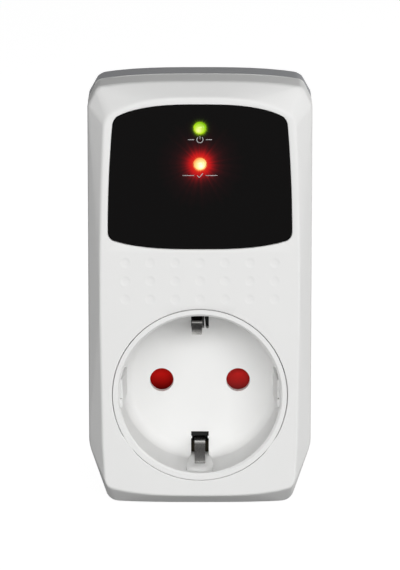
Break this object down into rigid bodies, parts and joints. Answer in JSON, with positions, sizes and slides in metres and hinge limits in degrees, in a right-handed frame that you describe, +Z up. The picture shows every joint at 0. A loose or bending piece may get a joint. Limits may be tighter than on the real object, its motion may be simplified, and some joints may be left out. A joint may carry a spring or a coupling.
{
  "type": "appliance voltage protector",
  "caption": "White plug-through appliance voltage protector: black display window with lit status lights above a shuttered earthed socket, plug on the back.",
  "frame": {"origin": "middle of the plug's engagement face, on the axis shared by the plug and the socket", "axes": "+Z up along the case, +Y out of the back along the plug pins, +X to the right seen from the front"},
  "size_m": [0.055, 0.0664, 0.1062],
  "materials": {
    "shell_white": "satin white moulded plastic, lightly textured",
    "shell_grey": "satin mid-grey moulded plastic",
    "insert_white": "smooth white moulded plastic",
    "window_black": "polished black acrylic",
    "tape": "thin adhesive film",
    "shutter_red": "glossy red moulded plastic",
    "spring_steel": "rolled spring steel, bright at the bends",
    "steel": "zinc plated steel",
    "nickel": "nickel plated brass, polished",
    "brass": "stamped brass",
    "copper": "enamelled copper winding",
    "carrier": "heat resistant moulded plastic",
    "white_inner": "plain moulded plastic",
    "board": "green solder mask over laminate",
    "black_plastic": "black moulded plastic",
    "relay_blue": "blue moulded plastic",
    "film_yellow": "yellow potted box",
    "can_sleeve": "shrunk sleeve over a can",
    "varistor_blue": "dipped epoxy",
    "resistor_blue": "lacquered body",
    "fuse_white": "ceramic tube",
    "wire_brown": "brown insulation",
    "wire_black": "black insulation",
    "wire_blue": "blue insulation",
    "light_green": "lit yellow-green lens",
    "light_red": "lit red lens"
  },
  "bodies": {
    "housing": {"front_cover": "shell_white", "rear_cover": "shell_grey", "plug_body": "shell_grey", "display_window": "window_black", "window_tape": "tape", "case_screws": "steel", "socket_insert": "insert_white", "socket_floor": "insert_white", "insert_screws": "steel", "shutter_pivot": "steel", "shutter_spring": "spring_steel", "shutter_plate": "white_inner", "plate_screws": "steel", "earth_bracket": "brass", "earth_rivets": "steel", "plug_earth_top": "nickel", "plug_earth_bottom": "nickel", "contact_carrier": "carrier", "live_contact": "brass", "neutral_contact": "brass", "live_busbar": "brass", "neutral_busbar": "brass", "plug_pin_live": "nickel", "plug_pin_neutral": "nickel", "live_in_wire": "wire_brown", "live_out_wire": "wire_black", "neutral_wire": "wire_blue", "circuit_board": "board", "board_screws": "steel", "terminal_tabs": "nickel", "light_holder": "black_plastic", "power_light": "light_green", "status_light": "light_red", "relay_base": "black_plastic", "relay_cover": "relay_blue", "relay_bobbin": "carrier", "relay_coil": "copper", "relay_core": "steel", "relay_yoke": "steel", "relay_fixed_contact": "copper", "varistor": "varistor_blue", "thermal_fuse": "fuse_white", "film_capacitor": "film_yellow", "bulk_capacitor": "can_sleeve", "small_capacitor": "can_sleeve", "rectifier": "black_plastic", "controller_chip": "black_plastic", "regulator": "black_plastic", "relay_transistor": "black_plastic", "dropper_resistor": "resistor_blue", "chip_resistors": "black_plastic"},
    "shutter": {"safety_shutter": "shutter_red"},
    "clip_top": {"earth_clip_top": "spring_steel"},
    "clip_bottom": {"earth_clip_bottom": "spring_steel"},
    "armature": {"relay_armature": "steel", "relay_contact_spring": "copper"}
  },
  "joints": [
    {"name": "shutter_turn", "type": "hinge", "parent": "housing", "child": "shutter", "pos_m": [0, -0.0255, 0], "axis": [0, 1, 0], "range_deg": [0, 42], "stiffness_Nm_per_rad": 0.002, "springref_deg": -20.05},
    {"name": "clip_top_flex", "type": "hinge", "parent": "housing", "child": "clip_top", "pos_m": [0, -0.0253, 0.0159], "axis": [-1, 0, 0], "range_deg": [0, 10.5], "stiffness_Nm_per_rad": 0.05, "springref_deg": -5.73},
    {"name": "clip_bottom_flex", "type": "hinge", "parent": "housing", "child": "clip_bottom", "pos_m": [0, -0.0253, -0.0159], "axis": [1, 0, 0], "range_deg": [0, 10.5], "stiffness_Nm_per_rad": 0.05, "springref_deg": -5.73},
    {"name": "relay_pull", "type": "hinge", "parent": "housing", "child": "armature", "pos_m": [0.00125, -0.0231, 0.0639], "axis": [0, 0, -1], "range_deg": [0, 5.5], "stiffness_Nm_per_rad": 0.01, "springref_deg": -5.73}
  ]
}
